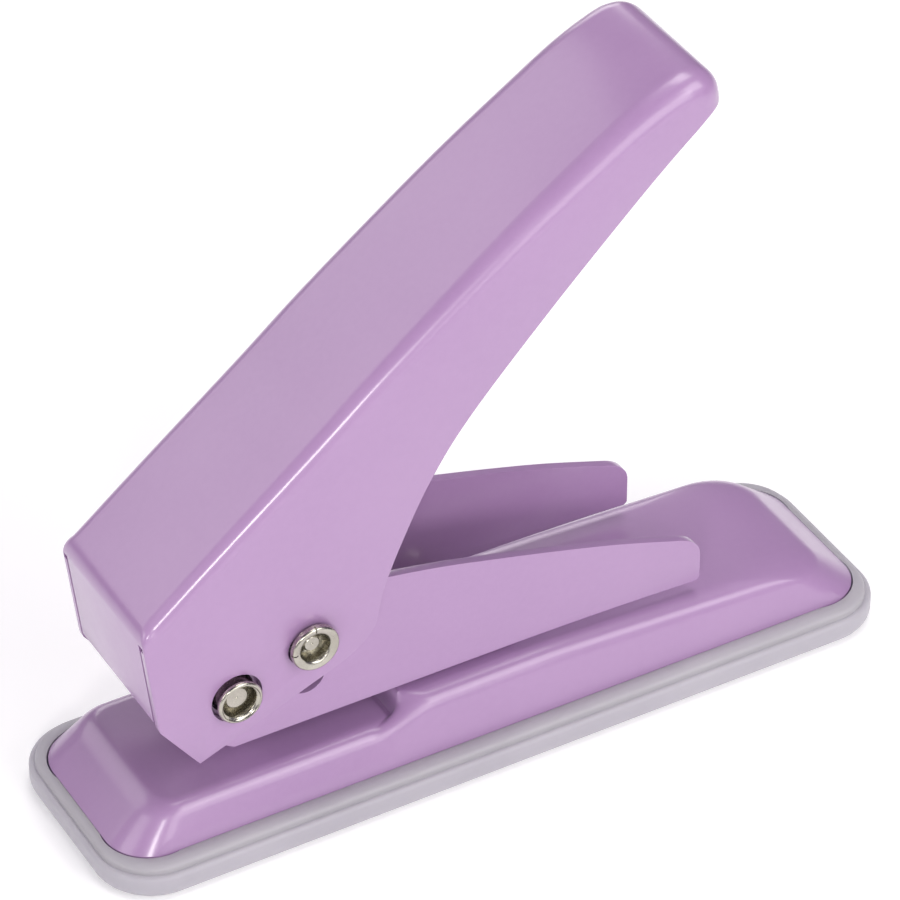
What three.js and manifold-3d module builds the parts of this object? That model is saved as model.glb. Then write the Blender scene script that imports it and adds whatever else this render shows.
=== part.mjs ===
// A single-hole desk punch: a pressed-steel base in a soft plastic tray, a U-shaped bracket on it,
// and a pressed-steel handle that turns on one rivet and drives the punch down with a second one.
// Millimetres, +Z up. X runs along the base: paper goes in at -X and the grip rises towards +X.
// The origin is the middle of the tray's underside.

import * as THREE from 'three';
import { mergeVertices } from 'three/addons/utils/BufferGeometryUtils.js';
import Module from 'manifold-3d';

const wasm = await Module();
wasm.setup();

// ---- Driving dimensions ----

const fit = 0.3;                                   // space between pieces that touch or rest

const tray = { length: 130, width: 37.8, height: 5.2, corner: 9.3, wall: 1.4, floor: 1.2, lip: 0.9 };
const shell = { length: 125.2, width: 30.8, corner: 7, sheet: 1.2, skirt: 5 };
const platform = { front: 11.1, rear: 14.4, step: -16.6, slopeFrom: 8, slope: 0.05 };

// How far each drawn wall leans in up to its shoulder, and how far the rounded edge above it runs.
const shoulder = 0.68;                             // as a share of the height over the skirt
const drawn = {
  frontSide: { wall: 1.8, run: 2.8 },
  rearSide: { wall: 1.35, run: 3.9 },
  frontEnd: { wall: 4.3, run: 3.6 },
  rearEnd: { wall: 5.5, run: 15.1 },
};
const cornerTaper = { front: 0.9, rear: 0.3 };     // how much of a side's lean its end corners lose in radius
const stepSpread = { low: 5.5, high: 0.7 };        // half the length of the step, at the skirt and on top

const bracket = {
  half: 11, sheet: 1.4, bend: 2.6,
  webLow: 14.7, webFront: -42.8, webRear: 4, cheekLow: 16.2,
};
const handle = { half: 12.7, sheet: 1.2, bend: 2.4, flapLow: 26.3 };

const pivot = { x: -43, z: 26.5, shank: 3.1, hole: 3.42 };
const cross = { x: -31.1, z: 31.7, shank: 2.5, hole: 2.8 };
const press = THREE.MathUtils.degToRad(30);        // how far the handle turns

const punch = { radius: 3, tip: 15.2, headRadius: 4.8, headLow: 27.5, headHigh: 36, notch: 8 };
const flange = { radius: 3.75, thick: 1, recess: 2.1, recessDepth: 2.2 };
const domeHead = { radius: 4.2, thick: 1.5 };
const sleeve = { inner: 3.4, outer: 4.6 };

const dieHole = 3.3;
const diePlate = { length: 25, width: 18, thick: 1.7, rivetReach: 9 };
const dieRivet = { shank: 1.2, head: 2, headThick: 0.8 };
const bracketRivet = { shank: 1.5, head: 2.7, headThick: 1.2, xs: [-8.8, -0.6], y: 5.5 };

const washer = { inner: 3.3, outer: 6.5, thick: 0.8 };
const spring = { wire: 0.4, turns: 4.5, wide: 7, narrow: 4.2 };

const cheekSlot = { half: 2.9, low: 23.7, high: 31.7 };

const reach = 40;                                  // longer than any piece that a cutter passes through
const sides = 24;                                  // facets round a pin or a hole

// ---- Materials ----

const lilac = { color: 0xbf9fc9, roughness: 0.42, metalness: 0.1 };
const nickel = { color: 0xc9c6bb, roughness: 0.3, metalness: 1 };
const steel = { color: 0x9a9a9c, roughness: 0.35, metalness: 1 };
const frosted = { color: 0xc4c3c9, roughness: 0.5, metalness: 0 };

// ---- Solids and cuts ----

function solid(geometry) {
  const bare = geometry.clone();
  bare.deleteAttribute('normal');
  bare.deleteAttribute('uv');
  const merged = mergeVertices(bare, 1e-4);
  return new wasm.Manifold(new wasm.Mesh({
    numProp: 3,
    vertProperties: merged.attributes.position.array,
    triVerts: Uint32Array.from(merged.index.array),
  }));
}

function geometryOf(body) {
  const { vertProperties, triVerts } = body.getMesh();
  const geometry = new THREE.BufferGeometry();
  geometry.setAttribute('position', new THREE.BufferAttribute(vertProperties, 3));
  geometry.setIndex(new THREE.BufferAttribute(triVerts, 1));
  return geometry;
}

function cutFrom(body, cutters) {
  return cutters.reduce((left, cutter) => left.subtract(cutter), body);
}

// An outline drawn in X and Z, made solid from y0 to y1.
function plate(outline, y0, y1) {
  const depth = y1 - y0;
  const geometry = new THREE.ExtrudeGeometry(outline, { depth, bevelEnabled: false, curveSegments: 8 });
  geometry.rotateX(Math.PI / 2);
  geometry.translate(0, y1, 0);
  return solid(geometry);
}

// The same outline, centred on Y, with all its long edges rounded to the bend radius.
function roundedPlate(outline, half, bend) {
  const geometry = new THREE.ExtrudeGeometry(outline, {
    depth: 2 * (half - bend),
    bevelThickness: bend,
    bevelSize: bend,
    bevelOffset: -bend,
    bevelSegments: 4,
  });
  geometry.rotateX(Math.PI / 2);
  geometry.translate(0, half - bend, 0);
  return solid(geometry);
}

function rodY(radius, y0, y1, x, z) {
  const geometry = new THREE.CylinderGeometry(radius, radius, y1 - y0, sides);
  geometry.translate(x, (y0 + y1) / 2, z);
  return solid(geometry);
}

function rodZ(radius, z0, z1, x, y) {
  const geometry = new THREE.CylinderGeometry(radius, radius, z1 - z0, sides);
  geometry.rotateX(Math.PI / 2);
  geometry.translate(x, y, (z0 + z1) / 2);
  return solid(geometry);
}

function block(x0, x1, y0, y1, z0, z1) {
  const geometry = new THREE.BoxGeometry(x1 - x0, y1 - y0, z1 - z0);
  geometry.translate((x0 + x1) / 2, (y0 + y1) / 2, (z0 + z1) / 2);
  return solid(geometry);
}

// A cutter for a slot with round ends, between two centres in X and Z, right through along Y.
function slotCutter(radius, [xa, za], [xb, zb]) {
  const angle = Math.atan2(zb - za, xb - xa);
  const outline = new THREE.Shape();
  outline.absarc(xb, zb, radius, angle - Math.PI / 2, angle + Math.PI / 2, false);
  outline.absarc(xa, za, radius, angle + Math.PI / 2, angle + 1.5 * Math.PI, false);
  return plate(outline, -reach, reach);
}

function vectors(points) {
  return points.map(([x, z]) => new THREE.Vector2(x, z));
}

function shapeOf(points) {
  return new THREE.Shape(vectors(points));
}

// The points of a rounded rectangle, as one ring with the same count whatever its size.
function roundedRing(x0, x1, halfY, corner, z) {
  const stepsPerCorner = 5;
  const centres = [[x0 + corner, corner - halfY], [x1 - corner, corner - halfY],
    [x1 - corner, halfY - corner], [x0 + corner, halfY - corner]];
  return centres.flatMap(([x, y], quarter) => Array.from({ length: stepsPerCorner + 1 }, (_, step) => {
    const angle = (quarter + 2 + step / stepsPerCorner) * Math.PI / 2;
    return [x + corner * Math.cos(angle), y + corner * Math.sin(angle), z];
  }));
}

// A closed solid through a stack of rings. Each cap is a ladder between the ring's two paired halves.
function loft(rings) {
  const count = rings[0].length;
  const positions = rings.flat(2);
  const indices = [];
  for (let level = 0; level + 1 < rings.length; level += 1) {
    for (let i = 0; i < count; i += 1) {
      const a = level * count + i;
      const b = level * count + (i + 1) % count;
      indices.push(a, b, b + count, a, b + count, a + count);
    }
  }
  const top = (rings.length - 1) * count;
  for (let i = 0; i + 1 < count / 2; i += 1) {
    const j = count - 1 - i;
    indices.push(i, j, i + 1, i + 1, j, j - 1);
    indices.push(top + i, top + i + 1, top + j, top + i + 1, top + j - 1, top + j);
  }
  const geometry = new THREE.BufferGeometry();
  geometry.setAttribute('position', new THREE.Float32BufferAttribute(positions, 3));
  geometry.setIndex(indices);
  return solid(geometry);
}

// ---- Tray ----

function trayBody() {
  const halfX = tray.length / 2;
  const halfY = tray.width / 2;
  const foot = 0.6;                                // rounding of the lower outer edge
  const ring = (inset, z) => roundedRing(inset - halfX, halfX - inset, halfY - inset, tray.corner - inset, z);
  const outer = loft([ring(foot, 0), ring(foot * 0.3, foot * 0.3), ring(0, foot), ring(0, tray.height - 0.4),
    ring(0.4, tray.height)]);
  const hollow = loft([ring(tray.wall, tray.floor), ring(tray.wall, tray.height - tray.lip)]);
  const openX = shell.length / 2 + fit;
  const openY = shell.width / 2 + fit;
  const mouth = loft([tray.floor + 1, tray.height + 1].map(
    (z) => roundedRing(-openX, openX, openY, shell.corner, z)));
  return cutFrom(outer, [hollow, mouth]);
}

// ---- Base shell ----

// The levels of the pressing over its skirt: the shoulder, then steps round the edge to the flat top.
// The edge is a parabola that leaves the leaning wall and meets the top without a crease.
function drawnLevels() {
  const steps = 4;
  const levels = [{ height: 0, wall: 0, run: 0 }, { height: shoulder, wall: 1, run: 0 }];
  for (let step = 1; step <= steps; step += 1) {
    const t = step / steps;
    const wall = 1 + 2 * t * (1 - t) * (1 - shoulder) / shoulder;
    levels.push({ height: shoulder + (1 - shoulder) * (2 - t) * t, wall, run: t * t });
  }
  return levels;
}

// 0 over the front platform and 1 over the rear one: a sharp step on top that softens down the sides.
function rearShare(x, level) {
  const spread = THREE.MathUtils.lerp(stepSpread.low, stepSpread.high, level.run ** 3);
  return THREE.MathUtils.smoothstep(x, platform.step - spread, platform.step + spread);
}

// One closed ring of the pressing, with its points paired across the middle line.
function drawnRing(level, inset) {
  const { frontSide, rearSide, frontEnd, rearEnd } = drawn;
  const leanOf = (profile) => profile.wall * level.wall + profile.run * level.run;
  const front = inset + leanOf(frontEnd) - shell.length / 2;
  const rear = shell.length / 2 - inset - leanOf(rearEnd);
  const frontCorner = shell.corner - inset - cornerTaper.front * leanOf(frontSide);
  const rearCorner = shell.corner - inset - cornerTaper.rear * leanOf(rearSide);
  // Sections along the sides: close together at the step, where the height changes, and open elsewhere.
  const lastStraight = 14;
  const stations = [-48, -40, -30, -22, -19.4, -17.6, -17, -16.2, -15.6, -13.8, -11, -4, 4, lastStraight];
  for (let step = 1; step <= 4; step += 1) {
    stations.push(THREE.MathUtils.lerp(lastStraight, rear - rearCorner, step / 4));
  }
  const cornerSteps = 5;
  const side = [];
  for (let step = 0; step <= cornerSteps; step += 1) {
    const angle = step / cornerSteps * Math.PI / 2;
    side.push([front + frontCorner * (1 - Math.cos(angle)), frontCorner * (1 - Math.sin(angle))]);
  }
  stations.forEach((x) => side.push([x, 0]));
  for (let step = 1; step <= cornerSteps; step += 1) {
    const angle = step / cornerSteps * Math.PI / 2;
    side.push([rear - rearCorner * (1 - Math.sin(angle)), rearCorner * (1 - Math.cos(angle))]);
  }
  const raised = side.map(([x, cornerInset]) => {
    const share = rearShare(x, level);
    const half = shell.width / 2 - inset - THREE.MathUtils.lerp(leanOf(frontSide), leanOf(rearSide), share);
    const fall = platform.slope * Math.max(0, x - platform.slopeFrom);
    const top = THREE.MathUtils.lerp(platform.front, platform.rear, share) - fall - inset;
    return [x, half - cornerInset, shell.skirt + level.height * (top - shell.skirt)];
  });
  return [...raised.map(([x, y, z]) => [x, -y, z]), ...raised.reverse()];
}

// The whole pressing as a solid block: its skirt straight up, then the drawn levels.
function drawnBlock(inset, low) {
  const rings = drawnLevels().map((level) => drawnRing(level, inset));
  const foot = rings[0].map(([x, y]) => [x, y, low]);
  return loft([foot, ...rings]);
}

function baseShell() {
  const low = tray.floor + fit;
  const holes = [
    rodZ(dieHole, 0, reach, cross.x, 0),
    ...dieRivetPlaces().map((x) => rodZ(dieRivet.shank + fit, 0, reach, x, 0)),
    ...bracketRivetPlaces().map(([x, y]) => rodZ(bracketRivet.shank + fit, 0, reach, x, y)),
  ];
  return cutFrom(drawnBlock(0, low), [drawnBlock(shell.sheet, low - 1), ...holes]);
}

// ---- Die ----

function dieRivetPlaces() {
  return [cross.x - diePlate.rivetReach, cross.x + diePlate.rivetReach];
}

const dieTop = platform.front - shell.sheet - fit;
const dieLow = dieTop - diePlate.thick;

function dieBody() {
  const halfX = diePlate.length / 2;
  const halfY = diePlate.width / 2;
  return cutFrom(block(cross.x - halfX, cross.x + halfX, -halfY, halfY, dieLow, dieTop), [
    rodZ(dieHole, 0, reach, cross.x, 0),
    ...dieRivetPlaces().map((x) => rodZ(dieRivet.shank + fit, 0, reach, x, 0)),
  ]);
}

function dieRivetBody(x) {
  const headTop = dieLow - fit;
  return rodZ(dieRivet.shank, headTop - 0.1, platform.front, x, 0)
    .add(rodZ(dieRivet.head, headTop - dieRivet.headThick, headTop, x, 0));
}

// ---- Bracket ----

function cheekOutline() {
  const low = bracket.cheekLow;
  const outline = new THREE.Shape();
  outline.moveTo(bracket.webFront - 2, low + 1.2);
  outline.lineTo(bracket.webFront, low);
  outline.lineTo(bracket.webRear, low);
  outline.quadraticCurveTo(20, low - 0.1, 34.2, low - 0.8);
  outline.lineTo(34.7, low - 0.3);
  outline.lineTo(34.7, 20.1);
  outline.quadraticCurveTo(34.7, 23, 30.8, 24.2);
  outline.splineThru(vectors([[20.6, 27.6], [10.4, 30.5], [0.4, 33.1], [-9.5, 35.5], [-20.2, 37.4],
    [-31.4, 38.3], [-40.5, 37.8], [-46.6, 34.7], [-49.6, 30], [-50, 24.9], [-47.5, 19.9]]));
  return outline;
}

function bracketRivetPlaces() {
  return bracketRivet.xs.flatMap((x) => [[x, -bracketRivet.y], [x, bracketRivet.y]]);
}

// The web and the two bends up from it, as one trough bent from the sheet.
function webTrough() {
  const { half, sheet, webLow, webFront, webRear, bend } = bracket;
  const rim = webLow + bend + 0.6;
  const uShape = (inset) => {
    const low = webLow + inset;
    const side = half - inset;
    const radius = bend - inset;
    const outline = new THREE.Shape();
    outline.moveTo(side, rim + inset);
    outline.lineTo(-side, rim + inset);
    outline.absarc(radius - side, low + radius, radius, Math.PI, 1.5 * Math.PI, false);
    outline.absarc(side - radius, low + radius, radius, 1.5 * Math.PI, 2 * Math.PI, false);
    return outline;
  };
  const along = (inset, x0, x1) => {
    const geometry = new THREE.ExtrudeGeometry(uShape(inset), {
      depth: x1 - x0, bevelEnabled: false, curveSegments: 5,
    });
    geometry.rotateX(Math.PI / 2);
    geometry.rotateZ(Math.PI / 2);
    geometry.translate(x0, 0, 0);
    return solid(geometry);
  };
  return along(0, webFront, webRear).subtract(along(sheet, webFront - 1, webRear + 1));
}

function bracketBody() {
  const { half, sheet } = bracket;
  const cheeks = plate(cheekOutline(), -half, sheet - half).add(plate(cheekOutline(), half - sheet, half));
  return cutFrom(cheeks.add(webTrough()), [
    rodZ(dieHole, 0, reach, cross.x, 0),
    rodY(pivot.shank + fit, -reach, reach, pivot.x, pivot.z),
    slotCutter(cheekSlot.half, [cross.x, cheekSlot.low], [cross.x, cheekSlot.high]),
    ...bracketRivetPlaces().map(([x, y]) => rodZ(bracketRivet.shank + fit, 0, reach, x, y)),
  ]);
}

// A rivet through the web and the rear platform, turned about its own axis, with a head at each end.
function bracketRivetBody(x, y) {
  const upper = bracket.webLow + bracket.sheet + fit;
  const lower = platform.rear - shell.sheet - fit;
  const { shank, head, headThick } = bracketRivet;
  return rodZ(shank, lower - 0.1, upper + 0.1, x, y)
    .add(domeZ(head, headThick, upper, x, y, 1))
    .add(domeZ(head, headThick, lower, x, y, -1));
}

// A low domed head that stands on the level z, pointing up or down.
function domeZ(radius, thick, z, x, y, way) {
  const steps = 3;
  const profile = [new THREE.Vector2(0, 0), new THREE.Vector2(radius, 0)];
  for (let step = 1; step <= steps; step += 1) {
    const angle = step / steps * Math.PI / 2;
    const out = step === steps ? 0 : radius * Math.cos(angle);
    profile.push(new THREE.Vector2(out, thick * Math.sin(angle)));
  }
  const geometry = new THREE.LatheGeometry(profile, 16);
  geometry.rotateX(way * Math.PI / 2);
  geometry.translate(x, y, z);
  return solid(geometry);
}

// ---- Handle ----

const ridge = [[-57.3, 42.9], [-44.7, 53.2], [-29.8, 65.1], [-18, 74.8], [0.8, 89], [14.2, 98.1],
  [21.3, 102.6], [27.3, 105.4], [30.4, 106], [32.9, 105.4], [34.7, 103.8], [35.4, 101.4]];
const frontLow = [-53.6, 11];                     // the foot of the front flap's line, well below the flap
const lowEnd = [35, 11];                           // the foot of the end wall's line, as low

// The pressing before its side plates are trimmed: the ridge, the end wall and the front flap, open below.
function pressingOutline(inset) {
  const outline = [frontLow, lowEnd, ...[...ridge].reverse()];
  return shapeOf(insetOutline(outline, inset));
}

// Moves each side of a closed outline in by a distance and joins the sides again.
function insetOutline(points, distance) {
  if (distance === 0) return points;
  const sidesMoved = points.map(([x0, z0], i) => {
    const [x1, z1] = points[(i + 1) % points.length];
    const long = Math.hypot(x1 - x0, z1 - z0);
    const away = [-(z1 - z0) / long * distance, (x1 - x0) / long * distance];
    return { at: [x0 + away[0], z0 + away[1]], along: [x1 - x0, z1 - z0] };
  });
  return sidesMoved.map((next, i) => {
    const last = sidesMoved[(i + points.length - 1) % points.length];
    const turn = last.along[0] * next.along[1] - last.along[1] * next.along[0];
    const gap = [next.at[0] - last.at[0], next.at[1] - last.at[1]];
    const t = (gap[0] * next.along[1] - gap[1] * next.along[0]) / turn;
    return [last.at[0] + t * last.along[0], last.at[1] + t * last.along[1]];
  });
}

// The side plate: from the front flap down to the tip, back along the lower edge and up to the grip.
function sideOutline() {
  const outline = new THREE.Shape();
  outline.moveTo(-61.9, 44.7);
  outline.lineTo(-55.6, 26.9);
  outline.lineTo(-55.1, 25.2);
  outline.lineTo(-49.2, 17.1);
  outline.lineTo(-27.8, 25.6);
  outline.quadraticCurveTo(-21.2, 28.2, -20.4, 32.1);
  outline.splineThru(vectors([[-19.4, 36.7], [-16.6, 43.7], [-11.8, 53.2], [-5.4, 62.2], [7.3, 75.8],
    [19.8, 88.2], [26.3, 94.3], [30.2, 97.7], [32.4, 99.6], [34.5, 100.4], [38, 100.6]]));
  outline.lineTo(40, 114);
  outline.lineTo(-61.9, 114);
  return outline;
}

// Where the cross rivet lies in the handle at rest, and where the press has brought it at full stroke.
function crossSlotInHandle() {
  const across = cross.x - pivot.x;
  const rise = cross.z - pivot.z;
  const start = Math.atan2(rise, across);
  const nearer = across / Math.cos(start - press);
  return [[cross.x, cross.z], [pivot.x + nearer * Math.cos(start), pivot.z + nearer * Math.sin(start)]];
}

function handleBody() {
  const { half, sheet, bend, flapLow } = handle;
  const outer = roundedPlate(pressingOutline(0), half, bend).intersect(plate(sideOutline(), -reach, reach));
  const hollow = roundedPlate(pressingOutline(sheet), half - sheet, bend - sheet);
  const inner = half - sheet;
  const belowFlap = block(frontLow[0] - 8, frontLow[0] + 3.6, -inner, inner, 0, flapLow);
  const belowHollow = block(frontLow[0] + 0.6, lowEnd[0] - 4, -inner, inner, 0, frontLow[1] + bend + 5);
  const [crossRest, crossPressed] = crossSlotInHandle();
  return cutFrom(outer, [
    hollow,
    belowFlap,
    belowHollow,
    rodY(pivot.hole, -reach, reach, pivot.x, pivot.z),
    slotCutter(cross.hole, crossRest, crossPressed),
  ]);
}

// ---- Pins ----

// A semi-tubular rivet along Y: a domed head on the far side, and on the near side a rolled flange
// around the open end of the tube.
function tubularRivet(place) {
  const near = -(handle.half + fit);
  const far = handle.half + fit;
  const face = near - flange.thick;
  const steps = 4;
  const profile = [[0, face + flange.recessDepth], [flange.recess, face + flange.recessDepth],
    [flange.recess, face + 0.5], [flange.recess + 0.5, face], [flange.radius - 0.4, face],
    [flange.radius, face + 0.4], [flange.radius, near], [place.shank, near], [place.shank, far],
    [domeHead.radius, far]];
  for (let step = 1; step <= steps; step += 1) {
    const angle = step / steps * Math.PI / 2;
    const out = step === steps ? 0 : domeHead.radius * Math.cos(angle);
    profile.push([out, far + domeHead.thick * Math.sin(angle)]);
  }
  return new THREE.LatheGeometry(profile.map(([r, y]) => new THREE.Vector2(r, y)), sides);
}

function punchBody() {
  const { radius, tip, headRadius, headLow, headHigh, notch } = punch;
  const shank = rodZ(radius, tip, headLow + 1, cross.x, 0);
  const head = rodZ(headRadius, headLow, headHigh, cross.x, 0);
  return cutFrom(shank.add(head), [
    rodY(cross.hole, -reach, reach, cross.x, cross.z),
    rodY(notch, -reach, reach, cross.x, tip - notch + 0.5),
  ]);
}

function sleeveBody() {
  const long = bracket.half - bracket.sheet - fit;
  return rodY(sleeve.outer, -long, long, 0, 0).subtract(rodY(sleeve.inner, -reach, reach, 0, 0));
}

// ---- Return spring ----

const springLow = bracket.webLow + bracket.sheet + fit;
const washerLow = punch.headLow - fit - washer.thick;
const springHigh = washerLow - fit;

// A cone of wire, wide at the web and narrow under the washer, so that its turns nest when pressed.
class ConeCoil extends THREE.Curve {
  getPoint(t, target = new THREE.Vector3()) {
    const angle = t * spring.turns * 2 * Math.PI;
    const radius = spring.wide + (spring.narrow - spring.wide) * t;
    const low = springLow + spring.wire;
    const high = springHigh - spring.wire;
    return target.set(radius * Math.cos(angle), radius * Math.sin(angle), low + (high - low) * t);
  }
}

function springBody() {
  const section = new THREE.Shape();
  section.absarc(0, 0, spring.wire, 0, 2 * Math.PI, false);
  return new THREE.ExtrudeGeometry(section, { extrudePath: new ConeCoil(), steps: 72, curveSegments: 3 });
}

function washerBody() {
  return rodZ(washer.outer, washerLow, washerLow + washer.thick, 0, 0)
    .subtract(rodZ(washer.inner, 0, reach, 0, 0));
}

// ---- Assembly ----

const assembly = new THREE.Group();

function place(name, body, finish, x = 0, y = 0, z = 0) {
  const geometry = body instanceof THREE.BufferGeometry ? body : geometryOf(body);
  const mesh = new THREE.Mesh(geometry, new THREE.MeshStandardMaterial(finish));
  mesh.name = name;
  mesh.position.set(x, y, z);
  assembly.add(mesh);
}

place('bottom_tray', trayBody(), frosted);
place('base_shell', baseShell(), lilac);
place('die_plate', dieBody(), steel);
dieRivetPlaces().forEach((x, i) => place(`die_rivet_${i + 1}`, dieRivetBody(x), nickel));
place('bracket', bracketBody(), lilac);
bracketRivetPlaces().forEach(([x, y], i) => place(`bracket_rivet_${i + 1}`, bracketRivetBody(x, y), nickel));
place('handle', handleBody(), lilac);
place('pivot_rivet', tubularRivet(pivot), nickel, pivot.x, 0, pivot.z);
place('pivot_sleeve', sleeveBody(), steel, pivot.x, 0, pivot.z);
place('cross_rivet', tubularRivet(cross), nickel, cross.x, 0, cross.z);
place('punch_pin', punchBody(), steel);
place('spring_washer', washerBody(), steel, cross.x);
place('return_spring', springBody(), steel, cross.x);

export default assembly;
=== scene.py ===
import math
import bmesh
import bpy
from mathutils import Euler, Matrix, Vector


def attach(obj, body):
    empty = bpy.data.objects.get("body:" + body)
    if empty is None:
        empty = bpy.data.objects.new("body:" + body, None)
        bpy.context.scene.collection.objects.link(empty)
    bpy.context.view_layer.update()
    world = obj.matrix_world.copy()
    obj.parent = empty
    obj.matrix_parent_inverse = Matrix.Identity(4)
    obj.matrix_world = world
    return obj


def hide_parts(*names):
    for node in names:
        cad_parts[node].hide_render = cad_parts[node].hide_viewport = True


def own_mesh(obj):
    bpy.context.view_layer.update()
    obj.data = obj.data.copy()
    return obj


# A single-hole desk punch. Shapes are drawn in millimetres and turned into metres as each mesh is
# made. X runs along the base with the grip at +X, and the near side is -Y.

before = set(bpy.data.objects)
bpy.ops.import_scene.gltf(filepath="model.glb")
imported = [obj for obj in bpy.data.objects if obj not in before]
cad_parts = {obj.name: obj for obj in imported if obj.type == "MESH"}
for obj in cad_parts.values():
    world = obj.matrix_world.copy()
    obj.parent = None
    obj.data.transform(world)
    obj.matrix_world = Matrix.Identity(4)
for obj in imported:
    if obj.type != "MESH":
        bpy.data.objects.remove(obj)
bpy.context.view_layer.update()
MM = 0.001

# ---- Driving dimensions, in millimetres ----

TRAY = dict(length=130, width=37.8, height=5.2, corner=9.3, wall=1.4, floor=1.2, lip=0.9,
            foot=1.6, shoulder=0.7, ledge=4, mouth_gap=0.04)
# From the ledge up to the inner rim, as inset from the tray's outline and height.
TRAY_RIM = [(0.8, 3.93), (0.9, 4.05), (0.95, 4.35), (1.05, 4.65), (1.25, 4.88), (1.6, 5.04), (2, 5.14),
            (2.3, 5.2)]

SHELL = dict(length=125.2, width=30.8, corner=7, sheet=1.2, skirt=5.2)
PLATFORM = dict(front=11.1, rear=14.4, step=-16.6, slope_from=8, slope=0.05)
# Half the length of the step between the platforms, low on the wall and up on top.
STEP_SPREAD = dict(low=5.5, high=0.7, power=1.6)
# The share of the height that is straight wall. Below it each side and end leans in by its wall, and
# above it by its run as well.
SHOULDER = 0.68
FRONT_SIDE = dict(wall=1.8, run=2.8)
REAR_SIDE = dict(wall=1.35, run=3.9)
FRONT_END = dict(wall=4.3, run=3.6)
REAR_END = dict(wall=5.5, run=15.1)
CORNER_TAPER = dict(front=0.9, rear=0.3)
FIT = 0.3

BRACKET = dict(half=11, sheet=1.4, web_low=14.7, cheek_low=16.2, web_front=-42.8, web_rear=4, bend=2.6)
CHEEK_TIP = [(34.7, 20.1), (34.7, 23), (30.8, 24.2)]
CHEEK_TOP = [(30.8, 24.2), (20.6, 27.6), (10.4, 30.5), (0.4, 33.1), (-9.5, 35.5), (-20.2, 37.4),
             (-31.4, 38.3), (-40.5, 37.8), (-46.6, 34.7), (-49.6, 30), (-50, 24.9), (-47.5, 19.9),
             (-44.8, 17.4)]
CHEEK_SLOT_LOW = 24.3

HANDLE = dict(half=12.7, sheet=1.2, flap_low=26.3, skirt_low=18.4)
BEND = dict(flap=0.35, front=2.2, grip=3.9, corner=1.9)
RIDGE = [(-57.3, 42.9), (-44.7, 53.2), (-29.8, 65.1), (-18, 74.8), (0.8, 89), (14.2, 98.1), (21.3, 102.6),
         (27.3, 105.4), (30.4, 106), (32.9, 105.4), (34.7, 103.6), (35.4, 101), (35.38, 98)]
FRONT_LOW = (-53.6, 11)
END_LOW = (35, 11)
SIDE_FRONT = [(-61.9, 44.7), (-55.6, 26.9), (-55.1, 25.2), (-49.2, 17.1)]
SIDE_HEEL = [(-27.8, 25.6), (-21.2, 28.2), (-20.4, 32.1)]
SIDE_BACK = [(-20.4, 32.1), (-19.4, 36.7), (-16.6, 43.7), (-11.8, 53.2), (-5.4, 62.2), (7.3, 75.8),
             (19.8, 88.2), (26.3, 94.3), (30.2, 97.7), (32.4, 99.6), (34.5, 100.4), (38, 100.6)]
SIDE_ABOVE = [(40, 114), (-61.9, 114)]
PIVOT_HOLE = dict(near=4.0, far=3.42, cheek=3.4)
# The near hole in the lever is worn off centre.
HOLE_DRIFT = (-0.05, 0.15)

PIVOT = (-43, 26.5)
CROSS = (-31.1, 31.7)
PIVOT_RIVET = dict(shank=2.9, flange=3.5, thick=0.65, post=1.8)
CROSS_RIVET = dict(shank=2.65, flange=3.72, thick=1.0, post=1.3)
RIVET_DOME = dict(radius=4.2, height=1.5)
STAND_OFF = 0.65
SMALL_RIVET = dict(shank=1.5, radius=2.7, height=1.2)
SMALL_RIVET_X = (-8.8, -0.6)
SMALL_RIVET_Y = 5.5
SPRING = dict(wire=0.4, turns=4.5, wide=7, narrow=4.2, low=16.4, high=26.1)
DIE_HOLE = 3.3
SLOT = dict(cheek=2.9, handle=2.8)
PRESS = math.radians(30)
# Cutters run this far, past every side of the object.
CLEAR = 40


# ---- Meshes and cuts ----

def make_object(name, verts, faces):
    """A smooth-shaded mesh from points in millimetres."""
    mesh = bpy.data.meshes.new(name)
    mesh.from_pydata([Vector(v) * MM for v in verts], [], faces)
    mesh.validate()
    work = bmesh.new()
    work.from_mesh(mesh)
    bmesh.ops.remove_doubles(work, verts=work.verts, dist=1e-6)
    bmesh.ops.recalc_face_normals(work, faces=work.faces)
    work.to_mesh(mesh)
    work.free()
    for face in mesh.polygons:
        face.use_smooth = True
    made = bpy.data.objects.new(name, mesh)
    bpy.context.scene.collection.objects.link(made)
    return made


def skin(rings):
    """The faces between each ring of points and the next."""
    count = len(rings[0])
    faces = []
    for level in range(len(rings) - 1):
        for i in range(count):
            a = level * count + i
            b = level * count + (i + 1) % count
            faces.append((a, b, b + count, a + count))
    return faces


def points_of(rings):
    return [point for ring in rings for point in ring]


def stack_object(name, rings):
    """A closed solid through a stack of rings, with one flat face at each end."""
    count = len(rings[0])
    top = (len(rings) - 1) * count
    caps = [tuple(range(count)), tuple(range(top + count - 1, top - 1, -1))]
    return make_object(name, points_of(rings), skin(rings) + caps)


def loft_object(name, rings):
    """A closed solid through a stack of rings; each cap joins the two paired halves of its ring."""
    count = len(rings[0])
    faces = skin(rings)
    top = (len(rings) - 1) * count
    for i in range(count // 2 - 1):
        j = count - 1 - i
        faces.append((i, j, j - 1, i + 1))
        faces.append((top + i, top + i + 1, top + j - 1, top + j))
    return make_object(name, points_of(rings), faces)


def plate_object(name, outline, y0, y1):
    """An outline in X and Z made solid from y0 to y1."""
    return stack_object(name, [[(x, y, z) for x, z in outline] for y in (y0, y1)])


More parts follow.
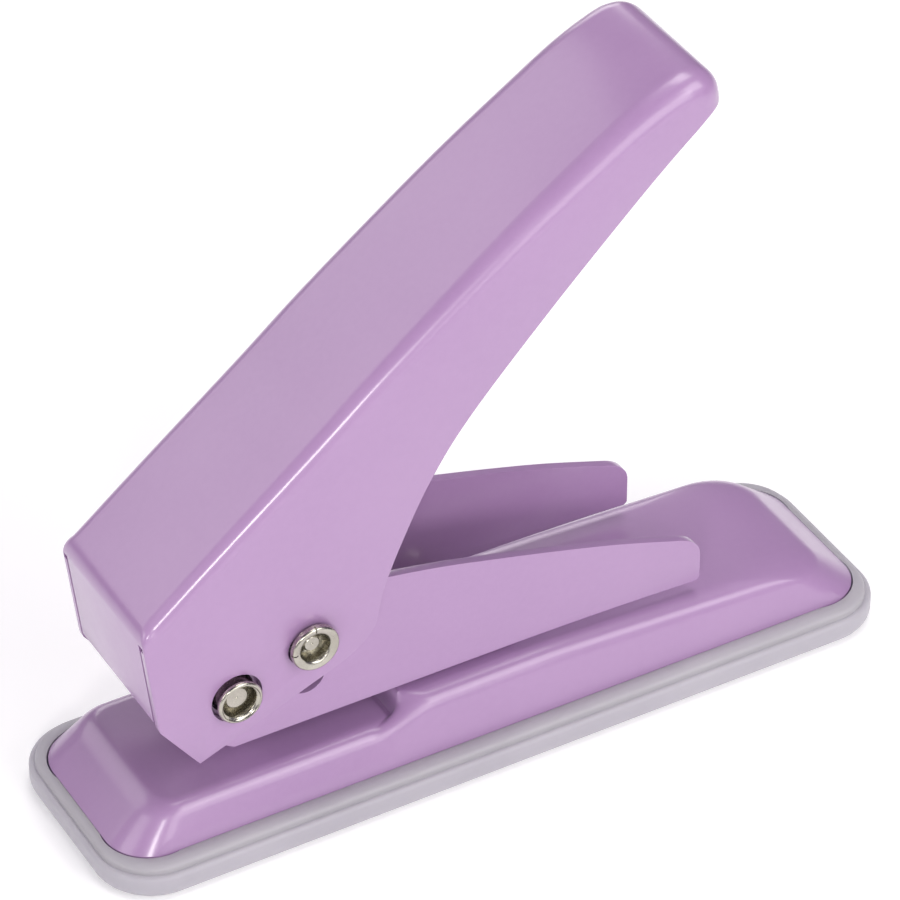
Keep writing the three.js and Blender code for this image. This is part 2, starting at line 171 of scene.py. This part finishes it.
def lathe_object(name, profile, place, axis, steps=64):
    """A profile of (radius, along) turned about an axis through place; it starts and ends at radius 0."""
    rings = []
    for radius, along in profile:
        ring = []
        for i in range(steps):
            turn = 2 * math.pi * i / steps
            u, v = radius * math.cos(turn), radius * math.sin(turn)
            offset = (u, along, v) if axis == "Y" else (u, v, along)
            ring.append(tuple(p + q for p, q in zip(place, offset)))
        rings.append(ring)
    made = make_object(name, points_of(rings), skin(rings))
    work = bmesh.new()
    work.from_mesh(made.data)
    bmesh.ops.dissolve_degenerate(work, dist=1e-7, edges=work.edges)
    bmesh.ops.recalc_face_normals(work, faces=work.faces)
    work.to_mesh(made.data)
    work.free()
    return made


def rod(radius, start, end, steps=64):
    """A plain round cutter between two points along Y or Z."""
    axis = "Y" if start[1] != end[1] else "Z"
    low, high = (start[1], end[1]) if axis == "Y" else (start[2], end[2])
    place = (start[0], 0, start[2]) if axis == "Y" else (start[0], start[1], 0)
    profile = [(0, low), (radius, low), (radius, high), (0, high)]
    return lathe_object("cutter", profile, place, axis, steps)


def box_object(name, low, high):
    """A plain box cutter between two corners."""
    outline = [(low[0], low[2]), (high[0], low[2]), (high[0], high[2]), (low[0], high[2])]
    return plate_object(name, outline, low[1], high[1])


def cross_hole(radius, centre, y0, y1):
    """A cutter across the punch, from y0 to y1, about a centre in X and Z."""
    return rod(radius, (centre[0], y0, centre[1]), (centre[0], y1, centre[1]))


def punch_hole():
    """The cutter for the hole that the punch goes down."""
    return rod(DIE_HOLE, (CROSS[0], 0, 0), (CROSS[0], 0, CLEAR))


def apply_modifiers(made):
    graph = bpy.context.evaluated_depsgraph_get()
    mesh = bpy.data.meshes.new_from_object(made.evaluated_get(graph))
    made.modifiers.clear()
    made.data = mesh


def combine(made, others, how):
    """Joins, cuts or trims a piece with others, which are used up."""
    for other in others:
        step = made.modifiers.new("combine", "BOOLEAN")
        step.operation = how
        step.object = other
        step.solver = "EXACT"
        apply_modifiers(made)
        bpy.data.objects.remove(other)
    return made


def finish_edges(made, width, angle=32):
    """Small rounded edges, then smooth shading that stays crisp at the steeper folds."""
    work = bmesh.new()
    work.from_mesh(made.data)
    bmesh.ops.remove_doubles(work, verts=work.verts, dist=2e-6)
    bmesh.ops.dissolve_degenerate(work, dist=2e-6, edges=work.edges)
    work.to_mesh(made.data)
    work.free()
    if width:
        edge = made.modifiers.new("edges", "BEVEL")
        edge.width = width * MM
        edge.segments = 3
        edge.limit_method = "ANGLE"
        edge.angle_limit = math.radians(angle)
        edge.use_clamp_overlap = True
        apply_modifiers(made)
    for face in made.data.polygons:
        face.use_smooth = True
    made.data.set_sharp_from_angle(angle=math.radians(angle))
    return made


def lerp(a, b, t):
    return a + (b - a) * t


def smoothstep(x, low, high):
    t = min(1, max(0, (x - low) / (high - low)))
    return t * t * (3 - 2 * t)


def spline(points, steps):
    """Points along a Catmull-Rom curve through the given ones."""
    out = []
    last = len(points) - 1
    for i in range(last):
        p0, p1, p2, p3 = (Vector(points[min(last, max(0, i + k))]) for k in (-1, 0, 1, 2))
        for step in range(steps):
            t = step / steps
            square = (2 * p0 - 5 * p1 + 4 * p2 - p3) * t * t
            cube = (3 * p1 - p0 - 3 * p2 + p3) * t ** 3
            out.append(tuple(0.5 * (2 * p1 + (p2 - p0) * t + square + cube)))
    out.append(tuple(points[-1]))
    return out


def quadratic(start, middle, end, steps):
    """Points along a curve that leaves start towards middle and comes into end from it."""
    a, b, c = Vector(start), Vector(middle), Vector(end)
    return [tuple(a * (1 - t) ** 2 + b * 2 * t * (1 - t) + c * t * t)
            for t in (step / steps for step in range(steps + 1))]


def arc(centre, radius, first, last, steps):
    return [(centre[0] + radius * math.cos(lerp(first, last, i / steps)),
             centre[1] + radius * math.sin(lerp(first, last, i / steps))) for i in range(steps + 1)]


def dome(radius, height, steps, first=0):
    """(radius, rise) up a dome from its rim, without the point at its top."""
    turns = [math.pi / 2 * i / steps for i in range(first, steps)]
    return [(radius * math.cos(turn), height * math.sin(turn)) for turn in turns]


# ---- Tray ----

def rounded_ring(x0, x1, half_y, corner, z, steps=14):
    """A level rectangle with round corners."""
    ring = []
    centres = [(x0 + corner, corner - half_y), (x1 - corner, corner - half_y),
               (x1 - corner, half_y - corner), (x0 + corner, half_y - corner)]
    for quarter, (x, y) in enumerate(centres):
        for step in range(steps + 1):
            angle = (quarter + 2 + step / steps) * math.pi / 2
            ring.append((x + corner * math.cos(angle), y + corner * math.sin(angle), z))
    return ring


def tray_look():
    """A shallow tray with a rounded foot, a ledge and a raised rim that fits round the shell."""
    half_x, half_y = TRAY["length"] / 2, TRAY["width"] / 2
    foot, shoulder = TRAY["foot"], TRAY["shoulder"]

    def ring(inset, z):
        return rounded_ring(inset - half_x, half_x - inset, half_y - inset, TRAY["corner"] - inset, z)

    def quarter(radius, z, up):
        levels = []
        for step in range(7):
            angle = step / 6 * math.pi / 2
            inset = radius * (1 - math.cos(angle))
            rise = radius * math.sin(angle)
            levels.append((inset, z + rise if up else z - rise))
        return levels if up else levels[::-1]

    levels = quarter(foot, foot, False) + quarter(shoulder, TRAY["ledge"] - shoulder, True) + TRAY_RIM
    outer = loft_object("tray_look", [ring(inset, z) for inset, z in levels])
    under_lip = TRAY["height"] - TRAY["lip"]
    hollow = loft_object("cutter", [ring(TRAY["wall"], z) for z in (TRAY["floor"], under_lip)])
    open_x = SHELL["length"] / 2 + TRAY["mouth_gap"]
    open_y = SHELL["width"] / 2 + TRAY["mouth_gap"]
    low, high = TRAY["floor"] + 1, TRAY["height"] + 1
    corner = SHELL["corner"]
    mouth = loft_object("cutter", [rounded_ring(-open_x, open_x, open_y, corner, z) for z in (low, high)])
    relief_x, relief_y, relief = open_x - corner, open_y - corner, corner + 0.2
    reliefs = [rod(relief, (x, y, low), (x, y, high + 3), 96)
               for x in (-relief_x, relief_x) for y in (-relief_y, relief_y)]
    return finish_edges(combine(outer, [hollow, mouth, *reliefs], "DIFFERENCE"), 0.15)


# ---- Base shell ----

def drawn_levels(steps=14):
    """The leaning wall, then an edge that leaves the wall and meets the top without a crease."""
    levels = [dict(height=h * SHOULDER, wall=h, run=0) for h in (0, 0.5, 1)]
    for step in range(1, steps + 1):
        t = step / steps
        height = SHOULDER + (1 - SHOULDER) * (2 - t) * t
        wall = 1 + 2 * t * (1 - t) * (1 - SHOULDER) / SHOULDER
        levels.append(dict(height=height, wall=wall, run=t * t))
    return levels


def rear_share(x, level):
    """0 over the front platform and 1 over the rear one, with a step that is longer low on the wall."""
    spread = lerp(STEP_SPREAD["low"], STEP_SPREAD["high"], level["run"] ** STEP_SPREAD["power"])
    return smoothstep(x, PLATFORM["step"] - spread, PLATFORM["step"] + spread)


def drawn_ring(level, inset):
    """One level of the shell's outline, drawn in by inset, from the front end round to the rear."""
    def lean(profile):
        return profile["wall"] * level["wall"] + profile["run"] * level["run"]

    front = inset + lean(FRONT_END) - SHELL["length"] / 2
    rear = SHELL["length"] / 2 - inset - lean(REAR_END)
    front_corner = SHELL["corner"] - inset - CORNER_TAPER["front"] * lean(FRONT_SIDE)
    rear_corner = SHELL["corner"] - inset - CORNER_TAPER["rear"] * lean(REAR_SIDE)
    last_straight = 14
    stations = [lerp(-48, -23, i / 10) for i in range(11)]
    stations += [lerp(-22, -11, i / 40) for i in range(41)]
    stations += [lerp(-10, last_straight, i / 10) for i in range(11)]
    stations += [lerp(last_straight, rear - rear_corner, i / 14) for i in range(1, 15)]
    corner_steps = 12
    turns = [step / corner_steps * math.pi / 2 for step in range(corner_steps + 1)]
    side = [(front + front_corner * (1 - math.cos(turn)), front_corner * (1 - math.sin(turn)))
            for turn in turns]
    side += [(x, 0) for x in stations]
    side += [(rear - rear_corner * (1 - math.sin(turn)), rear_corner * (1 - math.cos(turn)))
             for turn in turns[1:]]
    raised = []
    for x, corner_inset in side:
        share = rear_share(x, level)
        half = SHELL["width"] / 2 - inset - lerp(lean(FRONT_SIDE), lean(REAR_SIDE), share)
        fall = PLATFORM["slope"] * max(0, x - PLATFORM["slope_from"])
        top = lerp(PLATFORM["front"], PLATFORM["rear"], share) - fall - inset
        z = SHELL["skirt"] + level["height"] * (top - SHELL["skirt"])
        raised.append((x, half - corner_inset, z))
    return [(x, -y, z) for x, y, z in raised] + raised[::-1]


def drawn_block(name, inset, low):
    rings = [drawn_ring(level, inset) for level in drawn_levels()]
    foot = [(x, y, low) for x, y, z in rings[0]]
    return loft_object(name, [foot] + rings)


def shell_look():
    """The stepped pressing, open below, with the punch's hole in its front platform."""
    low = TRAY["floor"] + FIT
    made = drawn_block("shell_look", 0, low)
    hollow = drawn_block("cutter", SHELL["sheet"], low - 1)
    return finish_edges(combine(made, [hollow, punch_hole()], "DIFFERENCE"), 0)


# ---- Bracket ----

def cheek_outline():
    """One cheek: its low edge rearwards, the tip, and back along the top to the round front."""
    low = BRACKET["cheek_low"]
    outline = [(BRACKET["web_front"] - 2, low + 1.2), (BRACKET["web_front"], low)]
    outline += quadratic((BRACKET["web_rear"], low), (20, low - 0.1), (34.2, low - 0.8), 12)
    outline += [(CHEEK_TIP[0][0], low - 0.3)]
    outline += quadratic(*CHEEK_TIP, 12)
    outline += spline(CHEEK_TOP, 6)[1:-1]
    return outline


def web_trough(inset, x0, x1):
    """The bracket's floor and its two bends up into the cheeks, drawn in by inset."""
    half, low = BRACKET["half"] - inset, BRACKET["web_low"] + inset
    radius = BRACKET["bend"] - inset
    rim = BRACKET["web_low"] + BRACKET["bend"] + 0.6 + inset
    section = [(half, rim), (-half, rim)]
    for side, first in ((-1, math.pi), (1, 1.5 * math.pi)):
        for step in range(11):
            angle = first + step / 10 * math.pi / 2
            section.append((side * (half - radius) + radius * math.cos(angle),
                            low + radius + radius * math.sin(angle)))
    return stack_object("web", [[(x, y, z) for y, z in section] for x in (x0, x1)])


def slot_cutter(radius, start, end):
    """A slot right across the punch, with round ends."""
    angle = math.atan2(end[1] - start[1], end[0] - start[0])
    outline = []
    for (x, z), first in ((end, angle - math.pi / 2), (start, angle + math.pi / 2)):
        for step in range(25):
            turn = first + step / 24 * math.pi
            outline.append((x + radius * math.cos(turn), z + radius * math.sin(turn)))
    return plate_object("cutter", outline, -CLEAR, CLEAR)


def bracket_look():
    """Two cheeks joined by the trough, with the pivot hole and the slots for the cross rivet."""
    half, sheet = BRACKET["half"], BRACKET["sheet"]
    made = plate_object("bracket_look", cheek_outline(), -half, sheet - half)
    trough = web_trough(0, BRACKET["web_front"], BRACKET["web_rear"])
    combine(trough, [web_trough(sheet, BRACKET["web_front"] - 1, BRACKET["web_rear"] + 1)], "DIFFERENCE")
    combine(made, [plate_object("far", cheek_outline(), half - sheet, half), trough], "UNION")
    combine(made, [
        punch_hole(),
        cross_hole(PIVOT_HOLE["cheek"], PIVOT, -CLEAR, CLEAR),
        slot_cutter(SLOT["cheek"], (CROSS[0], CHEEK_SLOT_LOW), CROSS),
    ], "DIFFERENCE")
    return finish_edges(made, 0.16)


# ---- Handle ----

def pressing_line():
    """Stations along the middle outline, with the bend radius at each: flap, top, grip end, and foot."""
    corner = Vector(RIDGE[0])
    down = (Vector(FRONT_LOW) - corner).normalized()
    along = (Vector(RIDGE[1]) - corner).normalized()
    start, end = corner + down * BEND["corner"], corner + along * BEND["corner"]
    flap = [Vector(FRONT_LOW).lerp(start, step / 14) for step in range(14)]
    stations = [(tuple(point), BEND["flap"]) for point in flap]
    for i, point in enumerate(quadratic(start, corner, end, 8)):
        stations.append((point, lerp(BEND["flap"], BEND["front"], i / 8)))
    for point in spline([tuple(end)] + RIDGE[1:], 10)[1:]:
        share = (point[0] - RIDGE[0][0]) / (RIDGE[-1][0] - RIDGE[0][0])
        stations.append((point, lerp(BEND["front"], BEND["grip"], min(1, share * 1.05))))
    foot = [Vector(RIDGE[-1]).lerp(Vector(END_LOW), step / 12) for step in range(1, 13)]
    return stations + [(tuple(point), BEND["grip"]) for point in foot]


def inward(points):
    """The unit normal into the outline at each station of a line that runs clockwise round it."""
    normals = []
    last = len(points) - 1
    for i in range(last + 1):
        before, after = Vector(points[max(0, i - 1)]), Vector(points[min(last, i + 1)])
        along = (after - before).normalized()
        normals.append(Vector((along.y, -along.x)))
    return normals


def pressing_block(name, inset):
    """The lever's bent sheet as a solid, drawn in by inset, before its sides are trimmed."""
    line = pressing_line()
    points = [p for p, bend in line]
    normals = inward(points)
    half = HANDLE["half"] - inset
    steps = 9
    rings = []
    for side in (-1, 1):
        turns = range(steps, -1, -1) if side < 0 else range(steps + 1)
        for turn in turns:
            angle = turn / steps * math.pi / 2
            ring = []
            for (point, bend), normal in zip(line, normals):
                radius = max(0.25, bend - inset)
                moved = Vector(point) + normal * (inset + radius * (1 - math.cos(angle)))
                y = side * (half - radius * (1 - math.sin(angle)))
                ring.append((moved.x, y, moved.y))
            rings.append(ring)
    return stack_object(name, rings)


def side_outline():
    """The lever's trimmed sides: front corner, low edge, heel, and the long edge under the grip."""
    return SIDE_FRONT + quadratic(*SIDE_HEEL, 12) + spline(SIDE_BACK, 8)[1:] + SIDE_ABOVE


def cross_slot_in_handle():
    """Where the cross rivet lies in the lever at rest, and at full press, when it is nearer the pivot."""
    across, rise = CROSS[0] - PIVOT[0], CROSS[1] - PIVOT[1]
    start = math.atan2(rise, across)
    nearer = across / math.cos(start - PRESS)
    return CROSS, (PIVOT[0] + nearer * math.cos(start), PIVOT[1] + nearer * math.sin(start))


def flap_seams():
    """The open seams between the front flap and the sides, each with a small relief at its top."""
    inner = HANDLE["half"] - HANDLE["sheet"]
    seam = [(-61, 20), (-53, 20), (-55.85, 41.1), (-61, 41.1)]
    relief = [(-61, 40.2), (-56, 40.2), (-56, 41.1), (-61, 41.1)]
    cutters = []
    for side in (-1, 1):
        for outline, inside, outside in ((seam, 0.42, 0.04), (relief, 0.3, 0.75)):
            y0, y1 = sorted((side * (inner - inside), side * (inner + outside)))
            cutters.append(plate_object("cutter", outline, y0, y1))
    return cutters


def handle_look():
    """The lever: one bent sheet, open below and behind, with the flap closing its front."""
    inner = HANDLE["half"] - HANDLE["sheet"]
    front = FRONT_LOW[0]
    near_hole = (PIVOT[0] + HOLE_DRIFT[0], PIVOT[1] + HOLE_DRIFT[1])
    made = pressing_block("handle_look", 0)
    combine(made, [plate_object("trim", side_outline(), -CLEAR, CLEAR)], "INTERSECT")
    combine(made, [
        pressing_block("cutter", HANDLE["sheet"]),
        box_object("cutter", (front - 8, -inner, 0), (front + 3.6, inner, HANDLE["flap_low"])),
        box_object("cutter", (front + 0.6, -inner, 0), (30, inner, HANDLE["skirt_low"])),
        cross_hole(PIVOT_HOLE["near"], near_hole, -CLEAR, 0),
        cross_hole(PIVOT_HOLE["far"], PIVOT, 0, CLEAR),
        slot_cutter(SLOT["handle"], *cross_slot_in_handle()),
        *flap_seams(),
    ], "DIFFERENCE")
    return finish_edges(made, 0.2)


# ---- Rivets and spring ----

def tubular_rivet_look(name, x, z, shank, flange, thick, post):
    """A domed head on the far side; near, a rolled flange round a bore with a short post left in it."""
    near, far = -(HANDLE["half"] + STAND_OFF), HANDLE["half"] + FIT
    face = near - thick
    bore = shank - 0.35
    profile = [(0, face + 1.85), (0.2, face + 1.55), (post - 0.2, face + 1.5), (post, face + 1.7),
               (post + 0.1, face + 2.9), (bore - 0.2, face + 3.1), (bore, face + 2.9), (bore, face + 0.95)]
    profile += arc((bore + 0.55, face + 0.75), 0.55, math.pi, 1.4 * math.pi, 6)
    roll = min(0.45, thick - 0.1)
    profile += arc((flange - roll, face + roll), roll, 1.5 * math.pi, 2 * math.pi, 8)
    profile += [(flange, near), (shank, near), (shank, far), (RIVET_DOME["radius"] - 0.2, far)]
    profile += [(radius, far + rise) for radius, rise in dome(**RIVET_DOME, steps=12, first=1)]
    profile += [(0, far + RIVET_DOME["height"])]
    return lathe_object(name, profile, (x, 0, z), "Y", 72)


def cross_rivet_look():
    """The cross rivet's flange split in two places as it was rolled over."""
    made = tubular_rivet_look("cross_rivet_look", *CROSS, **CROSS_RIVET)
    x, z = CROSS
    near = HANDLE["half"] + STAND_OFF
    y0, y1 = -(near + CROSS_RIVET["thick"] + 0.5), -(near + 0.3)
    crack, inner, outer = 0.1, 2.9, 4
    cracks = [box_object("cutter", (x - crack, y0, z + inner), (x + crack, y1, z + outer)),
              box_object("cutter", (x - outer, y0, z - crack), (x - inner, y1, z + crack))]
    return combine(made, cracks, "DIFFERENCE")


def bracket_rivet_look(name, x, y):
    """A short rivet, domed at both ends, through the bracket's floor and the rear platform."""
    upper = BRACKET["web_low"] + BRACKET["sheet"] + FIT
    lower = PLATFORM["rear"] - SHELL["sheet"] - FIT
    shank, height = SMALL_RIVET["shank"], SMALL_RIVET["height"]
    head = dome(SMALL_RIVET["radius"], height, 10)
    profile = [(0, lower - height)] + [(radius, lower - rise) for radius, rise in head[::-1]]
    profile += [(shank, lower), (shank, upper)]
    profile += [(radius, upper + rise) for radius, rise in head] + [(0, upper + height)]
    return finish_edges(lathe_object(name, profile, (x, y, 0), "Z", 40), 0, 40)


def spring_look():
    """A conical spring of round wire, wide below and narrow under the washer."""
    wire = SPRING["wire"]
    low, high = SPRING["low"] + wire, SPRING["high"] - wire
    steps, around = 260, 12
    line = []
    for i in range(steps + 1):
        t = i / steps
        angle = t * SPRING["turns"] * 2 * math.pi
        radius = lerp(SPRING["wide"], SPRING["narrow"], t)
        x, y = CROSS[0] + radius * math.cos(angle), radius * math.sin(angle)
        line.append(Vector((x, y, lerp(low, high, t))))
    rings = []
    for i, point in enumerate(line):
        along = (line[min(steps, i + 1)] - line[max(0, i - 1)]).normalized()
        side = along.cross(Vector((0, 0, 1))).normalized()
        up = side.cross(along)
        turns = [2 * math.pi * k / around for k in range(around)]
        rings.append([tuple(point + side * (wire * math.cos(turn)) + up * (wire * math.sin(turn)))
                      for turn in turns])
    return stack_object("spring_look", rings)


# ---- Materials ----

class Nodes:
    """A short way to write a node tree."""

    def __init__(self, name):
        self.material = bpy.data.materials.new(name)
        self.material.use_nodes = True
        self.tree = self.material.node_tree
        self.surface = self.tree.nodes["Principled BSDF"]
        self.place = self.add("ShaderNodeTexCoord").outputs["Object"]

    def add(self, kind, **settings):
        node = self.tree.nodes.new(kind)
        for key, value in settings.items():
            setattr(node, key, value)
        return node

    def link(self, source, target):
        self.tree.links.new(source, target)

    def noise(self, scale, detail=4, rough=0.5, stretch=None):
        node = self.add("ShaderNodeTexNoise")
        node.inputs["Scale"].default_value = scale
        node.inputs["Detail"].default_value = detail
        node.inputs["Roughness"].default_value = rough
        source = self.place
        if stretch:
            mapping = self.add("ShaderNodeMapping")
            mapping.inputs["Scale"].default_value = stretch
            self.link(source, mapping.inputs["Vector"])
            source = mapping.outputs["Vector"]
        self.link(source, node.inputs["Vector"])
        return node.outputs["Fac"]

    def ramp(self, value, low, high, a=0.0, b=1.0):
        """Maps value from low..high to a..b."""
        node = self.add("ShaderNodeMapRange")
        for key, number in (("From Min", low), ("From Max", high), ("To Min", a), ("To Max", b)):
            node.inputs[key].default_value = number
        self.link(value, node.inputs["Value"])
        return node.outputs["Result"]

    def blend(self, factor, first, second):
        node = self.add("ShaderNodeMix", data_type="RGBA")
        self.link(factor, node.inputs["Factor"])
        for socket, colour in ((6, first), (7, second)):
            if isinstance(colour, tuple):
                node.inputs[socket].default_value = (*colour, 1)
            else:
                self.link(colour, node.inputs[socket])
        return node.outputs[2]

    def times(self, a, b):
        """A socket times a number or another socket."""
        node = self.add("ShaderNodeMath", operation="MULTIPLY")
        self.link(a, node.inputs[0])
        if isinstance(b, float):
            node.inputs[1].default_value = b
        else:
            self.link(b, node.inputs[1])
        return node.outputs[0]

    def bump(self, height, distance, strength, after=None):
        """Relief of a height in metres, on top of another relief if there is one."""
        node = self.add("ShaderNodeBump")
        node.inputs["Distance"].default_value = distance
        node.inputs["Strength"].default_value = strength
        self.link(height, node.inputs["Height"])
        if after:
            self.link(after, node.inputs["Normal"])
        return node.outputs["Normal"]

    def set(self, **values):
        """Sets the surface's inputs: plain values on the socket itself, varying ones by a link."""
        for key, value in values.items():
            socket = self.surface.inputs[key.replace("_", " ")]
            if isinstance(value, bpy.types.NodeSocket):
                self.link(value, socket)
            else:
                socket.default_value = value

    def edge_wear(self):
        """High on sharp edges, where the rounded normal leaves the true one, broken up by noise."""
        rounded = self.add("ShaderNodeBevel", samples=4)
        rounded.inputs["Radius"].default_value = 0.0003
        compare = self.add("ShaderNodeVectorMath", operation="DOT_PRODUCT")
        self.link(rounded.outputs["Normal"], compare.inputs[0])
        self.link(self.add("ShaderNodeNewGeometry").outputs["Normal"], compare.inputs[1])
        edge = self.ramp(compare.outputs["Value"], 0.995, 0.9)
        patches = self.ramp(self.noise(420, 6, 0.65), 0.5, 0.68)
        return self.times(edge, patches)


def lilac_paint():
    """Sprayed paint: a slight colour drift, fine orange peel, and paler worn edges."""
    n = Nodes("lilac_paint")
    broad = n.ramp(n.noise(38, 3, 0.5), 0.3, 0.7)
    colour = n.blend(broad, (0.382, 0.228, 0.430), (0.402, 0.243, 0.448))
    fine = n.ramp(n.noise(900, 5, 0.6), 0.35, 0.65)
    colour = n.blend(n.times(fine, 0.25), colour, (0.425, 0.262, 0.47))
    wear = n.edge_wear()
    colour = n.blend(n.times(wear, 0.35), colour, (0.56, 0.42, 0.60))
    rough = n.ramp(n.noise(150, 4, 0.6), 0.3, 0.7, 0.33, 0.42)
    peel = n.bump(n.noise(1500, 2, 0.4), 0.00003, 0.12)
    waves = n.bump(n.noise(60, 2, 0.4), 0.0004, 0.05, peel)
    n.set(Base_Color=colour, Roughness=rough, Normal=waves, Metallic=0.0, Specular_IOR_Level=0.5,
          Coat_Weight=0.85, Coat_Roughness=0.2)
    return n.material


def metal(name, tone, dark, rough_low, rough_high, stretch):
    """Bare or plated metal: patchy tone, brighter edges, and a fine grain that stretch draws out."""
    n = Nodes(name)
    broad = n.ramp(n.noise(300, 4, 0.6), 0.35, 0.65)
    colour = n.blend(broad, dark, tone)
    wear = n.edge_wear()
    colour = n.blend(n.times(wear, 0.5), colour, tuple(min(1, c * 1.15) for c in tone))
    grain = n.noise(6000, 3, 0.6, stretch)
    rough = n.ramp(grain, 0.3, 0.7, rough_low, rough_high)
    n.set(Base_Color=colour, Roughness=rough, Normal=n.bump(grain, 0.00001, 0.12), Metallic=1.0)
    return n.material


def frosted_plastic():
    """Cloudy soft plastic with a little light inside it and a fine moulded texture."""
    n = Nodes("frosted_plastic")
    broad = n.ramp(n.noise(45, 3, 0.5), 0.3, 0.7)
    colour = n.blend(broad, (0.42, 0.40, 0.445), (0.46, 0.44, 0.485))
    wear = n.edge_wear()
    colour = n.blend(n.times(wear, 0.5), colour, (0.62, 0.60, 0.66))
    rough = n.ramp(n.noise(500, 4, 0.6), 0.3, 0.7, 0.38, 0.5)
    fine = n.bump(n.noise(2600, 3, 0.5), 0.00002, 0.2)
    n.set(Base_Color=colour, Roughness=rough, Normal=fine, Metallic=0.0, Subsurface_Weight=0.5,
          Subsurface_Radius=(0.004, 0.004, 0.0045), Subsurface_Scale=1.0)
    return n.material


def pale_floor():
    n = Nodes("pale_floor")
    tone = n.ramp(n.noise(6, 3, 0.5), 0.3, 0.7)
    colour = n.blend(tone, (0.9, 0.9, 0.9), (0.92, 0.92, 0.92))
    n.set(Base_Color=colour, Roughness=0.9, Specular_IOR_Level=0.1, Emission_Color=(1, 1, 1, 1),
          Emission_Strength=0.2)
    return n.material


PAINT = lilac_paint()
NICKEL = metal("nickel_plate", (0.54, 0.52, 0.45), (0.44, 0.42, 0.36), 0.2, 0.3, (1, 1, 1))
STEEL = metal("ground_steel", (0.42, 0.42, 0.43), (0.3, 0.3, 0.31), 0.25, 0.45, (1, 1, 0.08))
PLASTIC = frosted_plastic()


def dress(made, material):
    made.data.materials.clear()
    made.data.materials.append(material)
    return made


def show(made, material, slot, body, *nodes):
    """Gives a piece its material, and rides it on a body in place of CAD nodes."""
    dress(made, material)
    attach(made, body)
    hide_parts(*nodes)


# ---- The object ----

show(tray_look(), PLASTIC, "tray_plastic", "tray", "bottom_tray")
show(shell_look(), PAINT, "lilac_paint", "frame", "base_shell")
show(bracket_look(), PAINT, "lilac_paint", "frame", "bracket")
show(handle_look(), PAINT, "lilac_paint", "lever", "handle")
pivot_look = tubular_rivet_look("pivot_rivet_look", *PIVOT, **PIVOT_RIVET)
show(finish_edges(pivot_look, 0, 40), NICKEL, "nickel_rivet", "frame", "pivot_rivet")
show(finish_edges(cross_rivet_look(), 0, 40), NICKEL, "nickel_rivet", "punch", "cross_rivet")
places = [(x, y) for x in SMALL_RIVET_X for y in (-SMALL_RIVET_Y, SMALL_RIVET_Y)]
for number, (x, y) in enumerate(places, 1):
    show(bracket_rivet_look(f"bracket_rivet_{number}_look", x, y), NICKEL, "nickel_rivet", "frame",
         f"bracket_rivet_{number}")

coil = spring_look()
show(coil, STEEL, "tool_steel", "frame", "return_spring")
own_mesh(coil)

for node in ("die_plate", "pivot_sleeve", "punch_pin", "spring_washer"):
    dress(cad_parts[node], STEEL)
for node in ("die_rivet_1", "die_rivet_2"):
    dress(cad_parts[node], NICKEL)


# ---- Floor, light and camera, in metres ----

WARM = (1, 0.985, 0.965)
LIGHTS = [
    dict(name="left_back", place=(-0.38, 0.54, 0.48), size=(0.6, 0.4), power=1.3),
    dict(name="left", place=(-0.62, -0.05, 0.30), size=(0.3, 0.3), power=0.9),
    dict(name="right_front", place=(0.30, -0.52, 0.53), size=(0.45, 0.35), power=2.0),
    dict(name="front", place=(0.08, -0.75, 0.32), size=(0.5, 0.4), power=1.9),
    dict(name="overhead", place=(0.15, 0.05, 0.90), size=(0.45, 0.45), power=3.2),
    dict(name="right_back", place=(0.25, 0.70, 0.34), size=(0.4, 0.3), power=1.1),
    dict(name="glint", place=(-0.385, -0.555, 0.35), size=(0.09, 0.09), power=1.2, target=(0, 0, 0.05)),
]
AMBIENT = dict(colour=(0.76, 0.66, 1, 1), strength=0.13)
CAMERA = dict(lens=193.43, sensor=36, place=(-0.27154, -0.47365, 0.46962), tilt=52.16, turn=-29.69)


def ground():
    size, steps = 2600, 12
    row = steps + 1
    marks = [lerp(-size, size, i / steps) for i in range(row)]
    verts = [(x, y, 0) for y in marks for x in marks]
    corners = [j * row + i for j in range(steps) for i in range(steps)]
    faces = [(a, a + 1, a + row + 1, a + row) for a in corners]
    made = dress(make_object("floor", verts, faces), pale_floor())


def area_light(name, place, size, power, target=(0, 0, 0.04)):
    """A soft rectangular light aimed at a point on the object."""
    light = bpy.data.lights.new(name, "AREA")
    light.shape = "RECTANGLE"
    light.size, light.size_y = size
    light.energy = power
    light.color = WARM
    made = bpy.data.objects.new(name, light)
    made.location = place
    made.rotation_euler = (Vector(target) - Vector(place)).to_track_quat("-Z", "Y").to_euler()
    bpy.context.scene.collection.objects.link(made)


ground()
for light in LIGHTS:
    area_light(**light)

world = bpy.data.worlds.new("studio")
bpy.context.scene.world = world
world.use_nodes = True
world.node_tree.nodes["Background"].inputs["Color"].default_value = AMBIENT["colour"]
world.node_tree.nodes["Background"].inputs["Strength"].default_value = AMBIENT["strength"]
bpy.context.scene.view_settings.view_transform = "Standard"

camera_data = bpy.data.cameras.new("camera")
camera_data.sensor_width = CAMERA["sensor"]
camera_data.lens = CAMERA["lens"]
camera_data.clip_end = 20
camera = bpy.data.objects.new("camera", camera_data)
camera.location = CAMERA["place"]
camera.rotation_euler = Euler((math.radians(CAMERA["tilt"]), 0, math.radians(CAMERA["turn"])))
bpy.context.scene.collection.objects.link(camera)
bpy.context.scene.camera = camera
